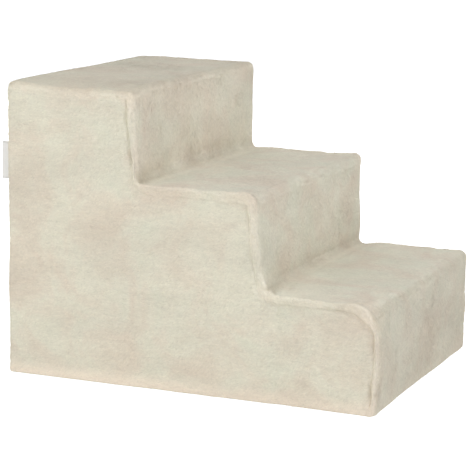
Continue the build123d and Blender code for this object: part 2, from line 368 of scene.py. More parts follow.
outer_corners = [
    ((r, t), (1, -1), nose_round(level, x))
    for level, (r, t) in enumerate(zip(riser_places, tread_levels))
]
outer_corners += [
    ((riser_places[0], 0.0), (1, 1), np.full(len(x), foot_round)),
    ((back_place, tread_levels[2]), (-1, -1), np.full(len(x), back_round)),
    ((back_place, 0.0), (-1, 1), np.full(len(x), foot_round)),
]
for corner, signs, radius in outer_corners:
    near, drawn_place = drawn_round(y, z, inward, corner, signs, radius, depth)
    place[near] = drawn_place[near]

near_side = bell(x + half_width, near_spread)
middle_width = bell(x - middle_x, middle_spread)
for corner_y, corner_z, near_more, middle_more in (
    (riser_places[1], tread_levels[0], 0.0160, 0.0015),
    (riser_places[2], tread_levels[1], 0.0010, 0.0070),
):
    radius = inner_round + near_more * near_side + middle_more * middle_width
    a = y - (corner_y - radius)
    b = z - (corner_z + radius)
    reach = np.maximum(np.hypot(a, b), tiny)
    target = radius + depth
    own = np.abs(np.maximum(y - corner_y, corner_z - z) - depth) < touch
    near = own & (a > 0) & (b < 0) & (reach > target) & (depth < inner_reach)
    share = 1 + (target / reach - 1) * (1 - smooth_step(depth, inner_skin, inner_reach))
    place[near] = np.array([corner_y - radius + a * share, corner_z + radius + b * share]).T[near]
    inward[near] = np.array([a / reach, b / reach]).T[near]

facing_up = inward[:, 1] ** 2
on_top = z > (tread_levels[1] + tread_levels[2]) / 2
level_edge = np.where(on_top, top_edge, np.where(z > tread_levels[0] / 2, tread_edge, base_edge))
edge_round = riser_edge * (1 - facing_up) + level_edge * facing_up
beside = half_width - np.abs(x)
a, b = depth - edge_round, beside - edge_round
near = (a < 0) & (b < 0)
share = np.where(near, edge_round / np.maximum(np.hypot(a, b), tiny), 1.0)
moved_in = np.where(near, edge_round + a * share - depth, 0.0)
place += inward * moved_in[:, None]
rounded_x = np.where(near, np.sign(x) * (half_width - edge_round - b * share), x)
for v, px, (py, pz) in zip(bm.verts, rounded_x, place):
    v.co = (px, py, pz)
bm.normal_update()

# Sewing: each seam is drawn into a narrow groove with puckers across it, the strip between the seam
# and the edge stands up like a welt, and the edges run in slow waves. The puckers come from noise.
groove_deep, groove_spread = 0.0021, 0.0014
welt_high, welt_place, welt_spread = 0.0007, 0.0055, 0.0032
pucker_high, pucker_spread = 0.0013, 0.006
slot_dip, slot_spread = 0.0004, 0.0022
slot_play, slot_reach = 0.001, 0.004
strip_middle, strip_spread = 0.008, 0.02
near_tread_welt, far_tread_welt, tread_welt_spread = 0.0034, 0.0014, 0.006
edge_spread = 0.016
pile_rise = 0.0012
flat_inset = 0.012
pinch_deep, pinch_spread = 0.0035, 0.006

on_side = beside < touch
on_back = y > back_place - touch
on_base = z < touch
seam_depth = np.max([np.minimum(y - r, t - z) for r, t in zip(riser_places, tread_levels)], axis=0)
back_seam = np.minimum(np.abs(np.abs(x) - seam_place), np.abs(z - (tread_levels[2] - seam_inset)))
base_seam = np.minimum(np.abs(x + seam_place), np.abs(y - riser_places[0] - seam_inset))
to_seam = np.where(on_side, np.abs(seam_depth - seam_inset), 1.0)
to_seam = np.where(~on_side & ~on_back & ~on_base, seam_inset + beside, to_seam)
to_seam = np.where(on_back & ~on_side, np.minimum(to_seam, back_seam), to_seam)
to_seam = np.where(on_base & ~on_side, np.minimum(to_seam, base_seam), to_seam)
far_side = on_side & (x > 0)
closed_zip = far_side & (y < slot_front + slot_play) & (seam_depth > seam_inset)
closed_zip |= on_back & (x < slot_end + slot_play) & (x > -seam_place)
to_seam = np.where(closed_zip, np.minimum(to_seam, np.abs(z - zip_level)), to_seam)
slot_zone = (far_side & (y > slot_front - slot_reach)) | (on_back & (x > slot_end - slot_reach))
to_slot = np.where(slot_zone, np.abs(np.abs(z - zip_level) - slot_half), 1.0)


def field(points, size, seed):
    """Smooth noise from -1 to 1 at points, with features of a size."""
    offset = Vector((seed * 7.31, seed * 3.17, seed * 5.77))
    return np.array([noise.noise(Vector(p) / size + offset) for p in points])


skin = np.array([v.co for v in bm.verts])
normals = np.array([v.normal for v in bm.verts])
pucker, ripple, slow_wave, broad = (
    field(skin, size, seed) for seed, size in enumerate((0.007, 0.022, 0.045, 0.11), 1)
)
groove_noise = field(skin, 0.035, 9)
foot_shade_noise = field(skin, 0.040, 13)
edge_share = np.where(on_side, bell(seam_depth, edge_spread), bell(beside, edge_spread))
edge_share = np.where(on_back | on_base, 0.3, edge_share)
edge_gap = np.where(on_side, seam_depth, beside)

low_strip, _, high_strip = (bell(y - r - strip_middle, strip_spread) for r in riser_places)

# The groove is shallower along the treads, the foot, the back and the base, and deeper along the
# lowest riser
along_tread = np.abs(inward[:, 1]) * (z > 0.05)
groove = 1 - along_tread * (0.45 + 0.5 * smooth_step(z, 0.15, 0.30))
groove *= (0.72 + 0.75 * groove_noise) * smooth_step(back_place - y, 0.002, 0.03)
groove *= np.where(on_side, 0.25 + 0.75 * smooth_step(z, 0.004, 0.03), 1)
groove *= np.where(on_base, 0.15, 1 + 0.35 * low_strip)

rise = 0.0007 * broad + 0.0005 * slow_wave - pile_rise
rise += edge_share * (0.0014 * slow_wave + 0.0012 * ripple + 0.0004 * pucker)
near_welt = near_tread_welt * (1 + 0.4 * ripple + 0.4 * slow_wave)
tread_welt = np.where(x < 0, near_welt, far_tread_welt) * bell(edge_gap, tread_welt_spread)
rise += along_tread * ~on_top * tread_welt
welt = bell(to_seam - welt_place, welt_spread) * (1 + 0.8 * pucker + 0.5 * ripple)
rise += welt_high * groove * welt
rise -= groove_deep * groove * bell(to_seam, groove_spread) * (1 + 0.9 * pucker)
rise += pucker_high * pucker * bell(to_seam, pucker_spread) * smooth_step(z, 0.0, 0.02)
rise -= slot_dip * bell(to_slot, slot_spread)
flat_base = on_base & (beside > flat_inset)
flat_base &= (y > riser_places[0] + flat_inset) & (y < back_place - flat_inset)
rise = np.where(flat_base, 0.0, rise)
for corner_y, corner_z in zip(riser_places[1:], tread_levels[:2]):
    away = np.sqrt((y - corner_y) ** 2 + (z - corner_z) ** 2 + beside**2)
    rise -= pinch_deep * bell(away, pinch_spread)
skin += normals * rise[:, None]

# A seam wanders a little to each side of its line on the side faces. On the near side it nears the
# edge at the foot of the upper riser, along the lowest riser and along the lowest tread.
wander_spread, nearer_spread = 0.006, 0.0058
near_upper_foot, near_low_riser, near_low_tread = 0.0045, 0.0026, 0.0024
wander = 0.0019 * field(sharp, 0.024, 5) + 0.0014 * field(sharp, 0.008, 10)
wander *= bell(to_seam, wander_spread)
nearer = near_upper_foot * high_strip * bell(z - tread_levels[1] - 0.004, 0.05)
nearer += near_low_riser * low_strip * (1 - smooth_step(z, 0.085, 0.115))
tread_strip = bell(z - tread_levels[0] + strip_middle, strip_spread)
tread_strip *= smooth_step(y, -0.205, -0.185) * (1 - smooth_step(y, -0.105, -0.085))
nearer += near_low_tread * tread_strip
wander -= nearer * (x < 0) * bell(to_seam, nearer_spread)
skin[:, 1:] += inward * (wander * on_side)[:, None]

# The foam isn't cut quite true, and the cover leans out at the risers: the two inner ones all
# along, every one more at its near end, and the middle one at its far end too
end_spread = 0.06
lean_out = (0.0030 + 0.005 * x) * bell(y - riser_places[2], 0.05) * smooth_step(z, 0.12, 0.21)
lean_out += 0.0020 * bell(y - riser_places[1], 0.03)
for end, riser, most, middle, high, deep in (
    (-half_width, riser_places[0], 0.0065, 0.065, 0.055, 0.05),
    (-half_width, riser_places[1], 0.0095, 0.135, 0.045, 0.03),
    (-half_width, riser_places[2], 0.0040, 0.245, 0.040, 0.03),
    (half_width, riser_places[1], 0.0020, 0.128, 0.024, 0.03),
):
    bulge = bell(x - end, end_spread) * bell(z - middle, high) * bell(y - riser, deep)
    lean_out += most * bulge
skin[:, 1] -= lean_out

# The lower treads and the top stand a little full, the top sags at its near edge, and the foot sits
# down on the floor
tread_lift, top_lift, top_sag, foot_drop = 0.0024, 0.0014, 0.0040, 0.0014
floor_gap, base_gap = 0.0002, 0.0006
for level, back in zip(tread_levels, riser_places[1:]):
    skin[:, 2] += tread_lift * bell(z - level, 0.04) * (1 - smooth_step(y - back, 0.0, 0.04))
near_sag = top_sag * bell(x + half_width, 0.028) * smooth_step(back_place - y, 0.0, 0.05)
skin[:, 2] += (top_lift - near_sag) * smooth_step(z, 0.29, 0.335) - foot_drop * bell(z, 0.012)
skin[:, 2] = np.maximum(skin[:, 2], np.where(flat_base, base_gap, floor_gap))
for v, p in zip(bm.verts, skin):
    v.co = p

# Painted shade: the pile is painted darker where shade falls, in the inner corners, in patches at
# the foot of the upper riser, and a little all over the top and the lowest riser
painted_shade = 0.30 * smooth_step(z, 0.334, 0.340) + 0.25 * bell(y - riser_places[0], 0.004) * ~on_side
for corner_y, corner_z, strength in zip(riser_places[1:], tread_levels[:2], (0.60, 0.55)):
    to_corner = np.hypot(y - corner_y + 0.003, z - corner_z)
    painted_shade += strength * bell(to_corner, 0.0105) * ~on_side
shaded_foot = 1 - smooth_step(z - tread_levels[1], 0.010, 0.040)
shaded_foot *= bell(y - riser_places[2], 0.003) * ~on_side
painted_shade = np.clip(painted_shade + (0.10 + 0.50 * foot_shade_noise) * shaded_foot, 0, 1)

# Painted light: the pile is painted paler and warmer where light falls, outside the side seams and
# on the rounded edges, along the foot of the cover where the floor throws light back, on the upper
# riser and above both inner corners
uneven = 0.002 * field(sharp, 0.02, 12)
lit_edge = 1 - smooth_step(beside, 0, 0.009)
painted_light = np.where(on_side, 1 - smooth_step(seam_depth + uneven, 0.0085, 0.013), lit_edge)
painted_light *= np.where(on_back | on_base, 0, 0.22 + 0.25 * slow_wave)
painted_light += ~on_base * np.where(on_side, 1, 0.25) * (1 - smooth_step(z + uneven, 0.003, 0.022))
painted_light += 0.20 * bell(y - riser_places[2], 0.003) * smooth_step(z, 0.232, 0.245) * ~on_side
for corner_y, corner_z in zip(riser_places[1:], tread_levels[:2]):
    above = z - corner_z
    light_above_corner = bell(y - corner_y, 0.003) * bell(above - 0.016, 0.020) * ~on_side
    painted_light += 0.12 * light_above_corner * smooth_step(above, 0.0, 0.016)
cover_marks = {"painted_light": np.clip(painted_light, 0, 1), "painted_shade": painted_shade}

# Plush: brushed polyester with a short dense pile. The pile lies in patches, so the cream turns a
# little pink, green or grey, with fine streaks along the nap, and its tips catch the light.
plush = new_material("short_pile_polyester_plush")
plush_places = add_node(plush, "TexCoord").outputs["Object"]
plush_marks = {
    name: add_node(plush, "Attribute", {"attribute_name": name}).outputs["Fac"]
    for name in ("painted_light", "painted_shade", "tuft_tone")
}
patches = add_node(
    plush,
    "TexNoise",
    {"Scale": 17.0, "Detail": 3.0, "Roughness": 0.55, "Distortion": 0.7},
    {"Vector": plush_places},
)
pink_share, green_share = (
    add_node(
        plush,
        "MapRange",
        {"From Min": start, "From Max": end, "To Min": 0.0, "To Max": most},
        {"Value": patches},
    )
    for start, end, most in ((0.47, 0.68, 0.65), (0.50, 0.28, 0.45))
)
pile_tone = add_node(
    plush, "Mix", {"data_type": "RGBA", 6: linear("#ede8d7"), 7: linear("#e7dac9")}, {0: pink_share}
)
for share, code in (
    (green_share, "#e9ecda"),
    # painted light: paler and warmer where light falls
    (plush_marks["painted_light"], "#fbf0df"),
    # painted shade: darker where shade falls
    (plush_marks["painted_shade"], "#d0c6b0"),
):
    pile_tone = add_node(
        plush, "Mix", {"data_type": "RGBA", 7: linear(code)}, {0: share, 6: pile_tone.outputs[2]}
    )

# Lights and darks of the nap, multiplied: each tuft's own tone, fine streaks, broad strokes of the
# brush and small clumps
nap_light = add_node(plush, "Math", {"operation": "ADD", 1: 1.0}, {0: plush_marks["tuft_tone"]})
nap_noises = []
for scale, detail, rough, low, high, darkest, lightest in (
    ((260.0, 60.0, 260.0), 3.0, 0.6, 0.25, 0.75, 0.955, 1.04),
    ((9.0, 9.0, 30.0), 2.0, 0.5, 0.3, 0.7, 0.96, 1.035),
    ((430.0, 430.0, 430.0), 2.0, 0.6, 0.3, 0.7, 0.975, 1.025),
):
    stretched = add_node(plush, "Mapping", {"Scale": scale}, {"Vector": plush_places})
    nap_noise = add_node(
        plush,
        "TexNoise",
        {"Scale": 1.0, "Detail": detail, "Roughness": rough},
        {"Vector": stretched},
    )
    light = add_node(
        plush,
        "MapRange",
        {"From Min": low, "From Max": high, "To Min": darkest, "To Max": lightest},
        {"Value": nap_noise},
    )
    nap_light = add_node(plush, "Math", {"operation": "MULTIPLY"}, {0: nap_light, 1: light})
    nap_noises.append(nap_noise)
plush_tone = add_node(
    plush,
    "Mix",
    {"data_type": "RGBA", "blend_type": "MULTIPLY", 0: 1.0},
    {6: pile_tone.outputs[2], 7: nap_light},
)
tufts = add_node(
    plush, "TexNoise", {"Scale": 420.0, "Detail": 3.0, "Roughness": 0.65}, {"Vector": plush_places}
)
tuft_bump = add_node(plush, "Bump", {"Strength": 0.45, "Distance": 0.0007}, {"Height": tufts})
streak_bump = add_node(
    plush,
    "Bump",
    {"Strength": 0.35, "Distance": 0.0009},
    {"Height": nap_noises[0], "Normal": tuft_bump},
)
plush_shader = add_node(
    plush,
    "BsdfPrincipled",
    {
        "Roughness": 0.92,
        "Specular IOR Level": 0.15,
        "Sheen Weight": 0.2,
        "Sheen Roughness": 0.45,
        "Sheen Tint": linear("#ffffff"),
    },
    {"Base Color": plush_tone.outputs[2], "Normal": streak_bump},
)
add_node(plush, "OutputMaterial", (), {"Surface": plush_shader})

# Base cloth: plain-woven polyester with a rubbed-on coat, greyer than the plush. The real threads
# are 0.4 mm apart and are drawn 0.9 mm apart, so that the weave shows.
base_weave = new_material("coated_plain_woven_polyester")
weave_places = add_node(base_weave, "TexCoord").outputs["Object"]
weave_waves = [
    add_node(
        base_weave,
        "TexWave",
        {"bands_direction": way, "Scale": 349.0, "Distortion": 0.6, "Detail": 1.0},
        {"Vector": weave_places},
    ).outputs["Fac"]
    for way in "XYZ"
]
weave_height = weave_waves[0]
for wave in weave_waves[1:]:
    weave_height = add_node(base_weave, "Math", {"operation": "ADD"}, {0: weave_height, 1: wave})
weave_gaps = add_node(
    base_weave,
    "MapRange",
    {"From Min": 0.2, "From Max": 2.0, "To Min": 0.86, "To Max": 1.04},
    {"Value": weave_height},
)
weave_bump = add_node(
    base_weave, "Bump", {"Strength": 0.5, "Distance": 0.0003}, {"Height": weave_height}
)
weave_soil = add_node(
    base_weave, "TexNoise", {"Scale": 22.0, "Detail": 3.0}, {"Vector": weave_places}
)
weave_tone = add_node(
    base_weave,
    "Mix",
    {"data_type": "RGBA", 6: linear("#cfc7b4"), 7: linear("#bdb5a3")},
    {0: weave_soil},
)
weave_colour = add_node(
    base_weave,
    "Mix",
    {"data_type": "RGBA", "blend_type": "MULTIPLY", 0: 1.0},
    {6: weave_tone.outputs[2], 7: weave_gaps},
)
weave_shader = add_node(
    base_weave,
    "BsdfPrincipled",
    {"Roughness": 0.75, "Specular IOR Level": 0.3},
    {"Base Color": weave_colour.outputs[2], "Normal": weave_bump},
)
add_node(base_weave, "OutputMaterial", (), {"Surface": weave_shader})

# Panels: the skin is parted at its seams into five pieces of cloth, stretched over the foam. The
# cloth is full over the faces, and thin in the seams and beside the zip. Each has its flat size and
# area.
cloth_thick = 0.0048
thin_share = 0.45
zip_thin = 0.013
panel_flats = {
    "step_panel": ((0.371, 0.811), None),
    "left_side_panel": ((0.471, 0.361), 0.1212),
    "right_side_panel": ((0.461, 0.330), 0.1050),
    "back_panel": ((0.329, 0.315), None),
    "base_panel": ((0.360, 0.460), None),
}
beside_zip = np.where(slot_zone | closed_zip, np.abs(z - zip_level), 1.0)
fullness = smooth_step(np.minimum(to_seam, beside_zip - zip_thin), 0.002, 0.008)
cover = {}
panel_corners = {}
for index, name in enumerate(panel_flats):
    panel = bm.copy()
    layer = panel.faces.layers.int["panel"]
    weight_layer = panel.verts.layers.deform.verify()
    for v, full in zip(panel.verts, fullness):
        v[weight_layer][0] = float(full)
    panel.verts.index_update()
    own = [f for f in panel.faces if f[layer] == index]
    other = [f for f in panel.faces if f[layer] != index]
    panel_corners[name] = np.array([[v.index for v in f.verts] for f in own])
    bmesh.ops.delete(panel, geom=other, context="FACES")
    if name == "base_panel":
        piece = new_piece("base_panel_cloth", panel, base_weave)
    else:
        piece = new_piece(f"{name}_plush", panel, plush)
    piece.vertex_groups.new(name="fullness")
    kept_verts = np.unique(panel_corners[name])
    for mark, values in cover_marks.items():
        marked = piece.data.attributes.new(mark, "FLOAT", "POINT")
        marked.data.foreach_set("value", values[kept_verts])
    cloth = piece.modifiers.new("cloth", "SOLIDIFY")
    cloth.thickness = cloth_thick
    cloth.offset = -1
    cloth.vertex_group = "fullness"
    cloth.thickness_vertex_group = thin_share
    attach(piece, "stairs")
    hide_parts(name)
    cover[name] = piece
bm.normal_update()
skin_normals = np.array([v.normal for v in bm.verts])
bm.free()

# Pile: the plush's fibres stand in small tufts about 3 mm long, laid over by the nap, each a closed
# spike rooted in the backing. The real ones are finer: one is drawn for each 1.35 mm square.
pile_pitch = 0.00135
tuft_length = 0.0032
tuft_radius = 0.00075
tuft_flat = 0.25
tuft_sink = 0.0001
seam_density, seam_reach = 0.75, 0.002
zip_bare, zip_reach = 0.0092, 0.006
lean_least, lean_usual, lean_on_treads, lean_most = 1.1, 1.34, 1.45, 1.48
turn_spread, lean_wave, lean_spread, tilt_spread = 0.45, 0.08, 0.06, 0.15
length_spread, radius_spread = 0.16, 0.12
tone_spread, tone_most = 0.04, 0.10
rounding = 0.2
piece_tufts = 49000
chance = np.random.default_rng(11)

bm_tuft = bmesh.new()
bmesh.ops.create_cone(bm_tuft, cap_ends=True, segments=3, radius1=1, radius2=0, depth=1)
bmesh.ops.translate(bm_tuft, vec=(0, 0, 0.5), verts=bm_tuft.verts)
bmesh.ops.recalc_face_normals(bm_tuft, faces=bm_tuft.faces)
tuft_points = np.array([v.co for v in bm_tuft.verts])
tuft_faces = np.array([[v.index for v in f.verts] for f in bm_tuft.faces])
bm_tuft.free()

nap_turn = 1.1 * field(skin, 0.06, 6) + 0.5 * field(skin, 0.018, 7)
nap_lean = field(skin, 0.03, 8)
zip_room = np.where(slot_zone, np.abs(z - zip_level), 1.0)
back_and_down = np.tile((0.0, 0.93, -0.35), (len(x), 1))
nap_ways = {
    "step_panel": np.array([0 * x, inward[:, 1], -inward[:, 0]]).T,
    "left_side_panel": back_and_down,
    "right_side_panel": back_and_down,
    "back_panel": np.tile((0.0, 0.0, -1.0), (len(x), 1)),
}


def spread(values, corners, u, v):
    """Values at the four corners of a face, spread to places inside it."""
    a, b, c, d = (values[corners[:, k]] for k in range(4))
    if values.ndim > 1:
        u, v = u[:, None], v[:, None]
    return (a * (1 - u) + b * u) * (1 - v) + (d * (1 - u) + c * u) * v


def plant_places(corners):
    """Face and place in it of each tuft: an even grid in each face, each tuft a little off."""
    wide = np.linalg.norm(skin[corners[:, 1]] - skin[corners[:, 0]], axis=1)
    high = np.linalg.norm(skin[corners[:, 3]] - skin[corners[:, 0]], axis=1)
    expect = wide * high / pile_pitch**2
    columns = np.maximum(1, np.round(wide / pile_pitch)).astype(int)
    rows = np.maximum(1, np.round(high / pile_pitch)).astype(int)
    chosen_faces, us, vs = [], [], []
    for c, r in {(c, r) for c, r in zip(columns, rows)}:
        some = np.flatnonzero((columns == c) & (rows == r))
        keep = expect[some] / (c * r)
        for i in range(c):
            for j in range(r):
                u = (i + chance.random(len(some))) / c
                v = (j + chance.random(len(some))) / r
                kept = chance.random(len(some)) < keep
                chosen_faces.append(some[kept])
                us.append(u[kept])
                vs.append(v[kept])
    chosen_faces = np.concatenate(chosen_faces)
    order = np.argsort(chosen_faces, kind="stable")
    return chosen_faces[order], np.concatenate(us)[order], np.concatenate(vs)[order]


def unit(vectors):
    """Vectors brought to length 1."""
    return vectors / np.maximum(np.linalg.norm(vectors, axis=-1), tiny)[..., None]


pile_pieces = {}
for name, way in nap_ways.items():
    corners = panel_corners[name]
    faces, u, v = plant_places(corners)
    corners = corners[faces]
    up = unit(spread(skin_normals, corners, u, v))
    rooted = (up[:, 2] > -0.8) & (spread(zip_room, corners, u, v) > zip_bare)
    rooted &= chance.random(len(u)) < seam_density + spread(to_seam, corners, u, v) / seam_reach
    up, corners, u, v = up[rooted], corners[rooted], u[rooted], v[rooted]
    count = len(u)
    nap = spread(way, corners, u, v)
    nap = unit(nap - up * (nap * up).sum(axis=1)[:, None])
    turn = spread(nap_turn, corners, u, v) + chance.normal(0, turn_spread, count)
    nap = nap * np.cos(turn)[:, None] + np.cross(up, nap) * np.sin(turn)[:, None]
    side = np.cross(up, nap)
    lean = lean_usual + lean_wave * spread(nap_lean, corners, u, v)
    lean += chance.normal(0, lean_spread, count)
    lean += (lean_on_treads - lean) * smooth_step(up[:, 2], 0.6, 0.9)
    lean = np.clip(lean, lean_least, lean_most)
    toward = up * np.cos(lean)[:, None] + nap * np.sin(lean)[:, None]
    over = np.cross(toward, side)
    length = tuft_length * np.clip(chance.normal(1, length_spread, count), 0.6, 1.5)
    length *= np.clip((spread(zip_room, corners, u, v) - zip_bare) / zip_reach, 0.35, 1)
    radius = tuft_radius * np.clip(chance.normal(1, radius_spread, count), 0.7, 1.3)
    wide = (tuft_points[:, 0] * radius[:, None])[..., None]
    thick = (tuft_points[:, 1] * radius[:, None])[..., None] * tuft_flat
    far = (tuft_points[:, 2] * length[:, None])[..., None]
    points = (spread(skin, corners, u, v) - up * tuft_sink)[:, None]
    points = points + wide * side[:, None] + thick * over[:, None] + far * toward[:, None]
    points[..., 2] = np.maximum(points[..., 2], floor_gap)

    # A tuft is shaded with the cover's own normal, a little rounded across and tilted by chance.
    # Only its underside keeps the normal of the face.
    tilt = chance.normal(0, tilt_spread, (2, count, 1, 1))
    rounded = rounding * wide / tuft_radius + tilt[0]
    shade = unit(up[:, None] + rounded * side[:, None] + tilt[1] * nap[:, None])
    corner_shade = shade[:, tuft_faces.ravel()].reshape(count, len(tuft_faces), 3, 3)
    edges = points[:, tuft_faces]
    facing = unit(np.cross(edges[:, :, 1] - edges[:, :, 0], edges[:, :, 2] - edges[:, :, 0]))
    under = (facing * up[:, None]).sum(axis=2) < 0.1
    corner_shade = np.where(under[:, :, None, None], facing[:, :, None], corner_shade)
    bounds = np.linspace(0, count, math.ceil(count / piece_tufts) + 1).astype(int)
    pile_pieces[name] = []
    for part, (first, last) in enumerate(zip(bounds, bounds[1:])):
        share = slice(first, last)
        numbers = np.arange(last - first)
        mesh = bpy.data.meshes.new(f"{name}_pile_{part + 1}")
        face_list = (tuft_faces + len(tuft_points) * numbers[:, None, None]).reshape(-1, 3)
        mesh.from_pydata(points[share].reshape(-1, 3), [], face_list)
        mesh.polygons.foreach_set("use_smooth", [True] * len(mesh.polygons))
        columns = math.ceil(math.sqrt(len(numbers)))
        cell = np.array([numbers % columns, numbers // columns]).T[:, None]
        inside = 0.5 + 0.4 * tuft_points[None, :, :2] * (1 - tuft_points[None, :, 2:])
        per_point = ((cell + inside) / columns).reshape(-1, 2)
        bake_map = mesh.uv_layers.new(name="OFBake")
        bake_map.data.foreach_set("uv", per_point[face_list.ravel()].ravel())
        mesh.normals_split_custom_set(corner_shade[share].reshape(-1, 3))
        tuft_marks = {
            mark: spread(values, corners[share], u[share], v[share])
            for mark, values in cover_marks.items()
        }
        tones = chance.normal(0, tone_spread, len(numbers))
        tuft_marks["tuft_tone"] = np.clip(tones, -tone_most, tone_most)
        for mark, values in tuft_marks.items():
            marked = mesh.attributes.new(mark, "FLOAT", "POINT")
            marked.data.foreach_set("value", np.repeat(values, len(tuft_points)))
        mesh.materials.append(plush)
        pile = bpy.data.objects.new(mesh.name, mesh)
        bpy.context.collection.objects.link(pile)
        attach(pile, "stairs")
        pile_pieces[name].append(pile)
for name, piece in cover.items():
    pile = pile_pieces.get(name, [])

# Grip dots: drops of soft PVC printed on the base cloth, 8 mm apart. The stairs stand on them.
grip_pvc = new_material("printed_soft_pvc")
dot_places = add_node(grip_pvc, "TexCoord").outputs["Object"]
dot_grime = add_node(grip_pvc, "TexNoise", {"Scale": 300.0, "Detail": 2.0}, {"Vector": dot_places})
dot_tone = add_node(
    grip_pvc,
    "Mix",
    {"data_type": "RGBA", 6: linear("#a39b8a"), 7: linear("#8b8475")},
    {0: dot_grime},
)
dot_shader = add_node(
    grip_pvc, "BsdfPrincipled", {"Roughness": 0.5}, {"Base Color": dot_tone.outputs[2]}
)
add_node(grip_pvc, "OutputMaterial", (), {"Surface": dot_shader})

dot_pitch = 0.008
dot_radius = 0.0013
dot_tip = 0.6
dot_high = 0.0006
dot_gap = 0.0001
dots_half_x, dots_half_y = 0.147, 0.197
bm = bmesh.new()
bmesh.ops.create_cone(
    bm, cap_ends=True, segments=8, radius1=dot_radius * dot_tip, radius2=dot_radius, depth=dot_high
)
first_place = (-dots_half_x, -dots_half_y, dot_high / 2 + dot_gap)
bmesh.ops.translate(bm, vec=first_place, verts=bm.verts)
for way, half in ((Vector((1, 0, 0)), dots_half_x), (Vector((0, 1, 0)), dots_half_y)):
    first = bm.faces[:]
    for number in range(1, int(2 * half / dot_pitch) + 1):
        copied = bmesh.ops.duplicate(bm, geom=first)["geom"]
        shift = way * number * dot_pitch
        bmesh.ops.translate(bm, vec=shift, verts=picked(copied, bmesh.types.BMVert))
dots = new_piece("base_grip_dots", bm, grip_pvc, smooth=False)
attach(dots, "stairs")

# Zip tapes: two woven polyester tapes, sewn behind the edges of the slot, from the front of the
# right side round the corner and along the back. Their ribs run along them, 0.9 mm apart.
tape_weave = new_material("woven_polyester_zip_tape")
tape_places = add_node(tape_weave, "UVMap", {"uv_map": "along_tape"})
tape_turn = add_node(
    tape_weave, "Mapping", {"Scale": (1100.0, 1100.0, 1.0)}, {"Vector": tape_places}
)
tape_ribs = add_node(
    tape_weave,
    "TexWave",
    {"bands_direction": "Y", "Scale": 0.32, "Distortion": 0.4, "Detail": 1.0},
    {"Vector": tape_turn},
)
tape_threads = add_node(
    tape_weave,
    "TexWave",
    {"bands_direction": "X", "Scale": 0.5, "Distortion": 0.3},
    {"Vector": tape_turn},
)
tape_height = add_node(
    tape_weave,
    "Math",
    {"operation": "MULTIPLY"},
    {0: tape_ribs.outputs["Fac"], 1: tape_threads.outputs["Fac"]},
)
tape_look = {"Roughness": 0.8, "Specular IOR Level": 0.3, "Sheen Weight": 0.1}
two_toned(tape_weave, tape_height, ("#dcd5c2", "#ebe5d5"), (0.5, 0.0003), tape_look)

chain_x = 0.1721
chain_y = 0.2221
chain_corner = 0.0051
tape_front = -0.185
tape_end = -0.147
tape_wide = 0.010
tape_thick = 0.0005
tape_gap = 0.0032
tape_cuts = 60
side_run = chain_y - chain_corner - tape_front
corner_run = chain_corner * math.pi / 2
back_run = chain_x - chain_corner - tape_end
tape_long = side_run + corner_run + back_run


def drawn_out(bm, edges, shift):
    """Edges drawn out into faces by a shift: the new vertices and the new edges at their end."""
    drawn = bmesh.ops.extrude_edge_only(bm, edges=edges)["geom"]
    verts = picked(drawn, bmesh.types.BMVert)
    bmesh.ops.translate(bm, vec=shift, verts=verts)
    return verts, [e for e in picked(drawn, bmesh.types.BMEdge) if all(v in verts for v in e.verts)]


for side, low, lies_on in (
    ("upper", zip_level + tape_gap, ("right_side_panel", "back_panel")),
    ("lower", zip_level - tape_gap - tape_wide, ("base_panel",)),
):
    bm = bmesh.new()
    start = [bm.verts.new((chain_x, tape_front, level)) for level in (low, low + tape_wide)]
    verts, edges = drawn_out(bm, [bm.edges.new(start)], (0, side_run, 0))
    turned = bmesh.ops.spin(
        bm,
        geom=verts + edges,
        cent=(chain_x - chain_corner, chain_y - chain_corner, 0),
        axis=(0, 0, 1),
        angle=math.pi / 2,
        steps=8,
    )["geom_last"]
    drawn_out(bm, picked(turned, bmesh.types.BMEdge), (-back_run, 0, 0))
    long_edges = [e for e in bm.edges if e.calc_length() > 0.1]
    bmesh.ops.subdivide_edges(bm, edges=long_edges, cuts=tape_cuts, use_grid_fill=True)
    along_tape = bm.loops.layers.uv.new("along_tape")
    for f in bm.faces:
        for loop in f.loops:
            p = loop.vert.co
            on_right = p.x > chain_x - chain_corner + touch
            done = p.y - tape_front if on_right else tape_long - (p.x - tape_end)
            loop[along_tape].uv = (done, p.z)
        f.normal_update()
        if f.normal.dot(f.calc_center_median() * Vector((1, 1, 0))) < 0:
            f.normal_flip()
    tape = new_piece(f"{side}_zip_tape_woven", bm, tape_weave)
    weave = tape.modifiers.new("weave", "SOLIDIFY")
    weave.thickness = tape_thick
    weave.offset = 0
    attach(tape, "stairs")
    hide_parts(f"{side}_zip_tape")

# Topstitch: spun polyester thread through cover and tape, one row above the slot and one below it.
# The stitches are 3 mm long and drawn 0.6 mm thick.
thread = new_material("spun_polyester_thread")
thread_places = add_node(thread, "TexCoord").outputs["Object"]
thread_twist = add_node(
    thread, "TexNoise", {"Scale": 2500.0, "Detail": 1.0}, {"Vector": thread_places}
)
thread_look = {"Roughness": 0.6, "Sheen Weight": 0.2}
two_toned(thread, thread_twist, ("#e9e1cd", "#d8cfb9"), (0.4, 0.0001), thread_look)

stitch_pitch = 0.0038
stitch_long = 0.0030
stitch_thick = 0.0006
stitch_lift = 0.0001
stitch_offset = 0.0078
stitch_start = 0.006
seek_from, seek_far = 0.02, 0.03


def on_chain(done, level):
    """Point of the chain's path at a distance from its front end, with the ways out and along."""
    turn = done - side_run
    if turn < 0:
        return Vector((chain_x, tape_front + done, level)), Vector((1, 0, 0)), Vector((0, 1, 0))
    centre = Vector((chain_x - chain_corner, chain_y - chain_corner, level))
    if turn < corner_run:
        out = Vector((math.cos(turn / chain_corner), math.sin(turn / chain_corner), 0))
        return centre + out * chain_corner, out, Vector((-out.y, out.x, 0))
    out, along = Vector((0, 1, 0)), Vector((-1, 0, 0))
    return centre + out * chain_corner + along * (turn - corner_run), out, along


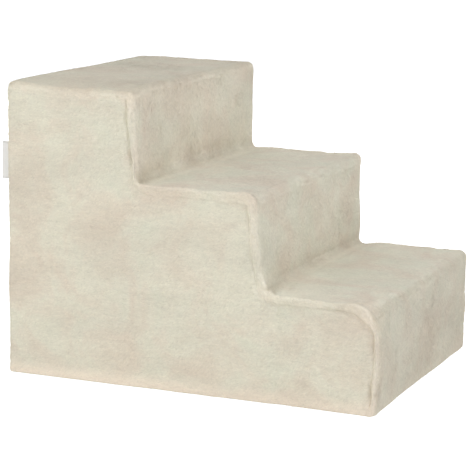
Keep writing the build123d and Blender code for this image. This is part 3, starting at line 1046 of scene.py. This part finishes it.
for side, level, sewn_panels in (
    ("upper", zip_level + stitch_offset, ("right_side_panel", "back_panel")),
    ("lower", zip_level - stitch_offset, ("base_panel",)),
):
    trees = []
    for name in sewn_panels:
        mesh = cover[name].data
        corners = [p.vertices for p in mesh.polygons]
        trees.append(bvhtree.BVHTree.FromPolygons([v.co for v in mesh.vertices], corners))
    bm = bmesh.new()
    for index in range(int((tape_long - 2 * stitch_start) / stitch_pitch)):
        start, out, along = on_chain(stitch_start + index * stitch_pitch, level)
        hits = [tree.ray_cast(start + out * seek_from, -out, seek_far) for tree in trees]
        hits = [hit for hit in hits if hit[0] is not None]
        if hits:
            seat, normal = min(hits, key=lambda hit: hit[3])[:2]
            along = (along - normal * along.dot(normal)).normalized()
            turned = Matrix((along, normal.cross(along), normal)).transposed().to_4x4()
            size = Matrix.Diagonal((stitch_long, stitch_thick, stitch_thick, 1))
            place = Matrix.Translation(seat + normal * stitch_lift) @ turned @ size
            bmesh.ops.create_uvsphere(bm, u_segments=6, v_segments=5, radius=0.5, matrix=place)
    stitches = new_piece(f"{side}_zip_topstitch", bm, thread)
    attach(stitches, "stairs")

# Teeth and stops: moulded acetal, each tooth clamped on the cord. A soft shine with a fine grain.
# They are the solids' own pieces, so only their material is set here.
acetal = new_material("moulded_acetal")
acetal_places = add_node(acetal, "TexCoord").outputs["Object"]
acetal_grain = add_node(
    acetal, "TexNoise", {"Scale": 1600.0, "Detail": 2.0}, {"Vector": acetal_places}
)
acetal_look = {"Roughness": 0.38, "IOR": 1.48}
two_toned(acetal, acetal_grain, ("#ece6d7", "#e2dbc9"), (0.15, 0.0001), acetal_look)
for name in ("upper_zip_teeth", "lower_zip_teeth", "zip_top_stops", "zip_bottom_stop"):
    for material_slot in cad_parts[name].material_slots:
        material_slot.material = acetal

# Slider and pull: die-cast zinc under cream enamel, smooth and glossy, with thin grey rubs in
# scattered spots. They too are the solids' own pieces.
enamel = new_material("cream_enamel_on_die_cast_zinc")
enamel_places = add_node(enamel, "TexCoord").outputs["Object"]
enamel_flow = add_node(
    enamel, "TexNoise", {"Scale": 420.0, "Detail": 3.0}, {"Vector": enamel_places}
)
rub_share, enamel_rough = (
    add_node(
        enamel,
        "MapRange",
        {"From Min": start, "From Max": end, "To Min": least, "To Max": most},
        {"Value": enamel_flow},
    )
    for start, end, least, most in ((0.62, 0.72, 0.0, 0.6), (0.3, 0.7, 0.22, 0.36))
)
enamel_tone = add_node(
    enamel, "Mix", {"data_type": "RGBA", 6: linear("#d9d1bc"), 7: linear("#a8a49a")}, {0: rub_share}
)
enamel_bump = add_node(
    enamel, "Bump", {"Strength": 0.2, "Distance": 0.0001}, {"Height": enamel_flow}
)
enamel_shader = add_node(
    enamel,
    "BsdfPrincipled",
    {"Coat Weight": 0.4, "Coat Roughness": 0.15},
    {
        "Base Color": enamel_tone.outputs[2],
        "Roughness": enamel_rough,
        "Normal": enamel_bump,
    },
)
add_node(enamel, "OutputMaterial", (), {"Surface": enamel_shader})
for name in ("zip_slider", "zip_pull"):
    for material_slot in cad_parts[name].material_slots:
        material_slot.material = enamel

# Label: a folded ribbon of white woven satin, caught in the near back seam, bare on both faces. Its
# ribs run across it.
satin = new_material("woven_polyester_satin")
satin_places = add_node(satin, "TexCoord").outputs["Object"]
satin_turn = add_node(satin, "Mapping", {"Scale": (1.0, 500.0, 1600.0)}, {"Vector": satin_places})
satin_ribs = add_node(satin, "TexNoise", {"Scale": 1.0, "Detail": 2.0}, {"Vector": satin_turn})
satin_look = {"Roughness": 0.42, "Sheen Weight": 0.3, "Sheen Roughness": 0.3}
two_toned(satin, satin_ribs, ("#f6f5f2", "#e6e6e4"), (0.3, 0.0001), satin_look)

label_place = -seam_place
label_low, label_high = 0.2265, 0.2695
label_root, label_fold = 0.2195, 0.2336
label_thick = 0.0003
label_rows = 12
label_steps = 7
fold_round = 0.0004
fold_steps = 6
bend, twist, ripple_high, ripple_turns = 0.0006, 0.0010, 0.0002, 14
bm = bmesh.new()
near_x = label_place - fold_round
start = [bm.verts.new((near_x, label_root, level)) for level in (label_low, label_high)]
bmesh.ops.subdivide_edges(bm, edges=[bm.edges.new(start)], cuts=label_rows - 1)
edges = bm.edges[:]
for way in (1, -1):
    for step in range(label_steps):
        shift = (0, way * (label_fold - label_root) / label_steps, 0)
        verts, edges = drawn_out(bm, edges, shift)
    if way == 1:
        turned = bmesh.ops.spin(
            bm,
            geom=verts + edges,
            cent=(label_place, label_fold, 0),
            axis=(0, 0, -1),
            angle=math.pi,
            steps=fold_steps,
        )["geom_last"]
        edges = picked(turned, bmesh.types.BMEdge)
for v in bm.verts:
    out = max(0.0, v.co.y - back_place) / (label_fold - back_place)
    middle = (v.co.z - (label_low + label_high) / 2) / (label_high - label_low)
    v.co.x += out * out * (twist * middle - bend)
    v.co.x += ripple_high * out * math.sin(ripple_turns * middle)
bmesh.ops.recalc_face_normals(bm, faces=bm.faces)
label = new_piece("woven_label_satin", bm, satin)
ribbon = label.modifiers.new("ribbon", "SOLIDIFY")
ribbon.thickness = label_thick
ribbon.offset = 0
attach(label, "stairs")
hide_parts("woven_label")
